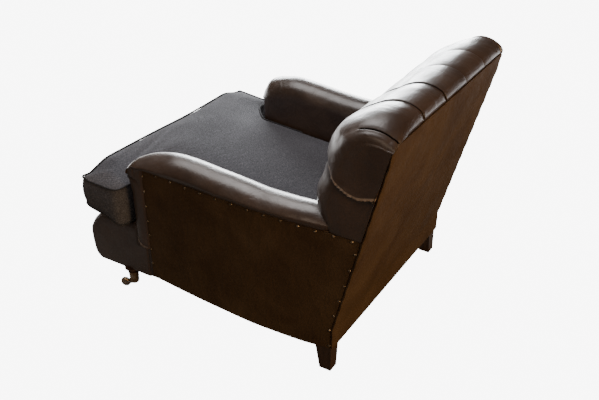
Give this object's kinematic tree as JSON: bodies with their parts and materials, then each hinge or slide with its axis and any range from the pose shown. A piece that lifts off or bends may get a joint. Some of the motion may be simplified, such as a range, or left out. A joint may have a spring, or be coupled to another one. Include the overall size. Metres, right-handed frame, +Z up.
{
  "type": "armchair",
  "caption": "Deep roll-arm armchair: loose T-shaped seat cushion between leather arms, pleated leather back, studded sides, turned front legs on castors and square rear legs.",
  "frame": {"origin": "on the floor, in the middle of the chair's bounding box", "axes": "+Z up, the chair faces -Y, its own left side is +X"},
  "size_m": [0.876, 1.13, 0.853],
  "materials": {
    "leather": "semi-gloss",
    "brass": "aged",
    "wheel_brass": "worn",
    "castor_steel": "dull",
    "seat_cloth": "matt weave",
    "piping_cloth": "matt",
    "stuffing": "matt",
    "webbing": "matt",
    "base_cloth": "matt",
    "spring_steel": "plain",
    "dark_wood": "polished",
    "frame_wood": "sawn"
  },
  "bodies": {
    "chair": {"front_rail": "frame_wood", "rear_rail": "frame_wood", "left_side_rail": "frame_wood", "right_side_rail": "frame_wood", "corner_blocks": "frame_wood", "left_arm_post": "frame_wood", "right_arm_post": "frame_wood", "left_arm_rail": "frame_wood", "right_arm_rail": "frame_wood", "left_arm_lower_rail": "frame_wood", "right_arm_lower_rail": "frame_wood", "left_back_post": "frame_wood", "right_back_post": "frame_wood", "back_top_rail": "frame_wood", "back_lower_rail": "frame_wood", "left_rear_leg": "dark_wood", "right_rear_leg": "dark_wood", "left_front_leg": "dark_wood", "right_front_leg": "dark_wood", "left_castor_cup": "brass", "right_castor_cup": "brass", "back_webbing": "webbing", "left_side_nails": "brass", "right_side_nails": "brass", "left_back_edge_nails": "brass", "right_back_edge_nails": "brass", "left_outer_side": "leather", "right_outer_side": "leather", "back_cover": "leather", "back_stuffing": "stuffing", "left_arm_cover": "leather", "right_arm_cover": "leather", "left_arm_stuffing": "stuffing", "right_arm_stuffing": "stuffing", "border_cover": "leather", "border_stuffing": "stuffing", "outer_back": "leather", "back_buttons": "leather", "seat_springs": "spring_steel", "spring_clips": "spring_steel", "seat_deck": "stuffing", "base_cloth": "base_cloth"},
    "left_castor": {"left_castor_horn": "castor_steel", "left_castor_axle": "castor_steel"},
    "right_castor": {"right_castor_horn": "castor_steel", "right_castor_axle": "castor_steel"},
    "left_wheel": {"left_castor_wheel": "wheel_brass"},
    "right_wheel": {"right_castor_wheel": "wheel_brass"},
    "cushion": {"seat_cushion": "seat_cloth", "cushion_piping": "piping_cloth"}
  },
  "joints": [
    {"name": "left_castor_swivel", "type": "hinge", "parent": "chair", "child": "left_castor", "pos_m": [0.372, -0.405, 0.0175], "axis": [0, 0, 1], "continuous": true},
    {"name": "left_wheel_roll", "type": "hinge", "parent": "left_castor", "child": "left_wheel", "pos_m": [0.38192, -0.43961, 0.0175], "axis": [0.9613, 0.2756, 0], "continuous": true},
    {"name": "right_castor_swivel", "type": "hinge", "parent": "chair", "child": "right_castor", "pos_m": [-0.372, -0.405, 0.0175], "axis": [0, 0, 1], "continuous": true},
    {"name": "right_wheel_roll", "type": "hinge", "parent": "right_castor", "child": "right_wheel", "pos_m": [-0.38192, -0.43961, 0.0175], "axis": [0.9613, -0.2756, 0], "continuous": true},
    {"name": "cushion_lift", "type": "slide", "parent": "chair", "child": "cushion", "axis": [0, 0, 1], "range_m": [0, 0.35]}
  ]
}
